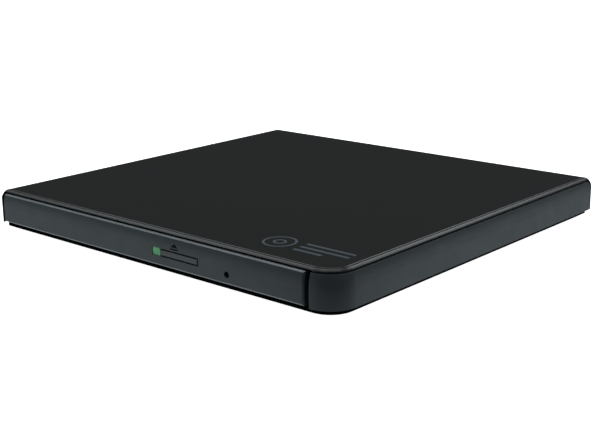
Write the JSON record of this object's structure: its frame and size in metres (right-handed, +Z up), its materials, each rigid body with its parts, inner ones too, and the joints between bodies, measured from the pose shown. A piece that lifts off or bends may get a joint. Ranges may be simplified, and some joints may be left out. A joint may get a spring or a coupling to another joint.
{
  "type": "external optical drive",
  "caption": "Slim external optical disc drive with a curved-sided black case, a tray that slides out of the front, an eject button with a green light window and a pinhole.",
  "frame": {"origin": "centre of the footprint, on the plane the rubber feet stand on", "axes": "+Z up, -Y towards the front with the tray, +X to the right seen from the front"},
  "size_m": [0.144, 0.1376, 0.014],
  "materials": {
    "black_cover": "satin",
    "black_case": "fine grained",
    "bezel_black": "fine grained",
    "tray_black": "matte",
    "button_black": "satin",
    "green_window": "diffused",
    "rubber": "matte",
    "steel_sheet": "satin",
    "steel_bright": "polished",
    "screw_steel": "satin",
    "white_plastic": "satin",
    "board_green": "lacquered",
    "chip_black": "matte",
    "copper": "lacquered",
    "cast_alloy": "cast",
    "lens_glass": "coated",
    "flex_amber": "film",
    "connector_cream": "satin"
  },
  "bodies": {
    "case": {"top_cover": "black_cover", "bottom_case": "black_case", "rubber_feet": "rubber", "case_screws": "screw_steel", "upper_shield": "steel_sheet", "left_rail_guide": "white_plastic", "right_rail_guide": "white_plastic", "latch_pin": "steel_bright", "usb_board": "board_green", "usb_board_chips": "chip_black", "board_screws": "screw_steel", "usb_socket": "steel_bright", "case_flex_connector": "connector_cream", "main_flex_cable": "flex_amber"},
    "left_runner": {"left_rail": "steel_sheet"},
    "right_runner": {"right_rail": "steel_sheet"},
    "tray": {"tray_bezel": "bezel_black", "disc_tray": "tray_black", "tray_bottom_plate": "steel_sheet", "bottom_plate_screws": "screw_steel", "traverse_cover": "tray_black", "traverse_chassis": "steel_sheet", "damper_grommets": "rubber", "chassis_screws": "screw_steel", "guide_shafts": "steel_bright", "shaft_holders": "white_plastic", "tray_board": "board_green", "tray_board_chips": "chip_black", "flex_connectors": "connector_cream", "eject_switch": "chip_black", "status_led": "green_window", "light_pipe": "green_window", "spindle_stator": "copper", "spindle_bearing": "cast_alloy", "sled_motor": "steel_sheet", "motor_bracket": "steel_sheet", "latch_solenoid": "copper", "plunger_holder": "white_plastic", "eject_spring": "steel_bright", "pickup_flex_cable": "flex_amber"},
    "button": {"eject_button": "button_black"},
    "spindle": {"spindle_rotor": "cast_alloy", "turntable_pad": "rubber", "clamp_springs": "steel_bright"},
    "pawl_1": {"clamp_pawl_1": "white_plastic"},
    "pawl_2": {"clamp_pawl_2": "white_plastic"},
    "pawl_3": {"clamp_pawl_3": "white_plastic"},
    "pickup": {"pickup_sled": "cast_alloy", "pickup_shield": "steel_sheet", "actuator_magnets": "steel_sheet"},
    "lens": {"lens_holder": "chip_black", "objective_lens": "lens_glass"},
    "screw": {"lead_screw": "steel_bright"},
    "latch": {"latch_lever": "white_plastic"},
    "solenoid_core": {"solenoid_plunger": "steel_bright"},
    "push_rod": {"eject_plunger": "steel_bright"}
  },
  "joints": [
    {"name": "tray_slide", "type": "slide", "parent": "case", "child": "tray", "axis": [0, -1, 0], "range_m": [0, 0.128], "deforming": ["main_flex_cable"]},
    {"name": "left_rail_slide", "type": "slide", "parent": "case", "child": "left_runner", "axis": [0, -1, 0], "range_m": [0, 0.064]},
    {"name": "right_rail_slide", "type": "slide", "parent": "case", "child": "right_runner", "axis": [0, -1, 0], "range_m": [0, 0.064]},
    {"name": "button_press", "type": "slide", "parent": "tray", "child": "button", "axis": [0, 1, 0], "range_m": [0, 0.0005], "stiffness_N_per_m": 400},
    {"name": "spindle_spin", "type": "hinge", "parent": "tray", "child": "spindle", "pos_m": [-0.003, -0.003, 0.009], "axis": [0, 0, 1], "continuous": true},
    {"name": "sled_travel", "type": "slide", "parent": "tray", "child": "pickup", "axis": [-0.7071, -0.7071, 0], "range_m": [0, 0.034], "deforming": ["pickup_flex_cable"]},
    {"name": "lens_focus", "type": "slide", "parent": "pickup", "child": "lens", "axis": [0, 0, 1], "range_m": [-0.0003, 0.0003]},
    {"name": "screw_spin", "type": "hinge", "parent": "tray", "child": "screw", "pos_m": [0.00761, -0.01361, 0.006], "axis": [-0.7071, -0.7071, 0], "range_deg": [0, 4090]},
    {"name": "latch_swing", "type": "hinge", "parent": "tray", "child": "latch", "pos_m": [0.0295, -0.06, 0.006], "axis": [0, 0, -1], "range_deg": [0, 10]},
    {"name": "solenoid_stroke", "type": "slide", "parent": "tray", "child": "solenoid_core", "axis": [1, 0, 0], "range_m": [0, 0.0017]},
    {"name": "push_rod_stroke", "type": "slide", "parent": "tray", "child": "push_rod", "axis": [0, 1, 0], "range_m": [0, 0.0116], "deforming": ["eject_spring"]},
    {"name": "pawl_1_press", "type": "slide", "parent": "spindle", "child": "pawl_1", "axis": [0.7071, 0.7071, 0], "range_m": [0, 0.00045], "deforming": ["clamp_springs"]},
    {"name": "pawl_2_press", "type": "slide", "parent": "spindle", "child": "pawl_2", "axis": [-0.9659, 0.2588, 0], "range_m": [0, 0.00045], "deforming": ["clamp_springs"]},
    {"name": "pawl_3_press", "type": "slide", "parent": "spindle", "child": "pawl_3", "axis": [0.2588, -0.9659, 0], "range_m": [0, 0.00045], "deforming": ["clamp_springs"]}
  ],
  "couplings": [
    {"joint": "left_rail_slide", "follows": "tray_slide", "ratio": 0.5},
    {"joint": "right_rail_slide", "follows": "tray_slide", "ratio": 0.5},
    {"joint": "push_rod_stroke", "follows": "tray_slide", "ratio": 0.09},
    {"joint": "screw_spin", "follows": "sled_travel", "rad_per_m": 2094.4},
    {"joint": "latch_swing", "follows": "solenoid_stroke", "rad_per_m": 102.6},
    {"joint": "pawl_2_press", "follows": "pawl_1_press", "ratio": 1},
    {"joint": "pawl_3_press", "follows": "pawl_1_press", "ratio": 1}
  ]
}
